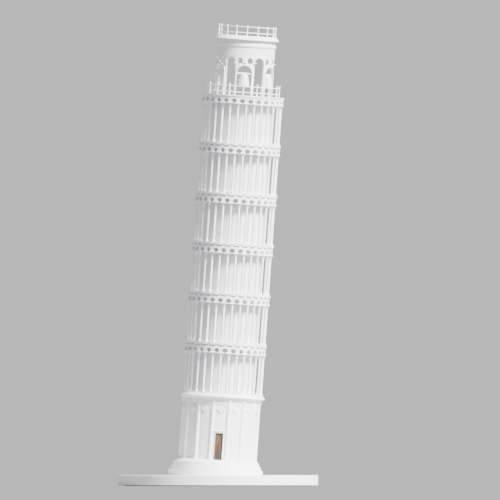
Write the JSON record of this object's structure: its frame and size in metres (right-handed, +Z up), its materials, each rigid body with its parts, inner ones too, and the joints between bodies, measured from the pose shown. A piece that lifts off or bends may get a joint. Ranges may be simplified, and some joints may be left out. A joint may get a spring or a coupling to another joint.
{
  "type": "miniature landmark model",
  "caption": "Leaning round tower souvenir with arcaded galleries, an open belfry with swinging bells and a wooden door, on a round display base.",
  "frame": {"origin": "centre of the felt pad's underside, on the surface that the model stands on", "axes": "+Z up; -Y towards the door side; +X towards the side that the tower leans to"},
  "size_m": [0.15, 0.15, 0.3468],
  "materials": {
    "grey_felt": "pressed felt",
    "white_base": "matte cast resin",
    "white_wall": "matte cast resin",
    "white_column": "matte cast resin",
    "white_cornice": "matte cast resin",
    "white_trim": "matte cast resin",
    "white_rail": "satin moulded plastic",
    "white_bell": "satin cast resin",
    "brown_wood": "oiled veneer",
    "bright_steel": "drawn"
  },
  "bodies": {
    "tower": {"felt_pad": "grey_felt", "base_plate": "white_base", "plinth_step_lower": "white_base", "plinth_step_middle": "white_base", "plinth_step_upper": "white_base", "lean_wedge": "white_base", "ground_drum": "white_wall", "gallery_1_drum": "white_wall", "gallery_2_drum": "white_wall", "gallery_3_drum": "white_wall", "gallery_4_drum": "white_wall", "gallery_5_drum": "white_wall", "gallery_6_drum": "white_wall", "belfry_drum": "white_wall", "ground_half_columns": "white_column", "gallery_1_columns": "white_column", "gallery_2_columns": "white_column", "gallery_3_columns": "white_column", "gallery_4_columns": "white_column", "gallery_5_columns": "white_column", "gallery_6_columns": "white_column", "ground_cornice": "white_cornice", "terrace_floor": "white_cornice", "belfry_band": "white_cornice", "belfry_cap": "white_cornice", "gallery_1_floor": "white_cornice", "gallery_2_floor": "white_cornice", "gallery_3_floor": "white_cornice", "gallery_4_floor": "white_cornice", "gallery_5_floor": "white_cornice", "gallery_1_arcade": "white_cornice", "gallery_2_arcade": "white_cornice", "gallery_3_arcade": "white_cornice", "gallery_4_arcade": "white_cornice", "gallery_5_arcade": "white_cornice", "gallery_6_arcade": "white_cornice", "ground_blind_arcade": "white_trim", "ground_lozenges": "white_trim", "belfry_bay_surrounds": "white_trim", "belfry_corbels": "white_trim", "door_frame": "white_trim", "door_lintel": "white_trim", "door_hood": "white_trim", "terrace_railing": "white_rail", "top_railing": "white_rail", "door_leaf": "brown_wood", "bell_pins": "bright_steel", "tie_rod": "bright_steel", "tie_rod_nuts": "bright_steel", "tie_rod_washers": "bright_steel"},
    "bell_1": {"bell_1": "white_bell"},
    "bell_2": {"bell_2": "white_bell"},
    "bell_3": {"bell_3": "white_bell"},
    "bell_4": {"bell_4": "white_bell"},
    "bell_5": {"bell_5": "white_bell"},
    "bell_6": {"bell_6": "white_bell"}
  },
  "joints": [
    {"name": "bell_1_swing", "type": "hinge", "parent": "tower", "child": "bell_1", "pos_m": [0.01987, -0.0199, 0.30934], "axis": [-0.9976, 0, 0.0698], "range_deg": [-10, 10]},
    {"name": "bell_2_swing", "type": "hinge", "parent": "tower", "child": "bell_2", "pos_m": [0.03706, -0.00995, 0.30814], "axis": [-0.4988, -0.866, 0.0349], "range_deg": [-10, 10]},
    {"name": "bell_3_swing", "type": "hinge", "parent": "tower", "child": "bell_3", "pos_m": [0.03706, 0.00995, 0.30814], "axis": [0.4988, -0.866, -0.0349], "range_deg": [-10, 10]},
    {"name": "bell_4_swing", "type": "hinge", "parent": "tower", "child": "bell_4", "pos_m": [0.01987, 0.0199, 0.30934], "axis": [0.9976, 0, -0.0698], "range_deg": [-10, 10]},
    {"name": "bell_5_swing", "type": "hinge", "parent": "tower", "child": "bell_5", "pos_m": [0.00267, 0.00995, 0.31055], "axis": [0.4988, 0.866, -0.0349], "range_deg": [-10, 10]},
    {"name": "bell_6_swing", "type": "hinge", "parent": "tower", "child": "bell_6", "pos_m": [0.00267, -0.00995, 0.31055], "axis": [-0.4988, 0.866, 0.0349], "range_deg": [-10, 10]}
  ]
}
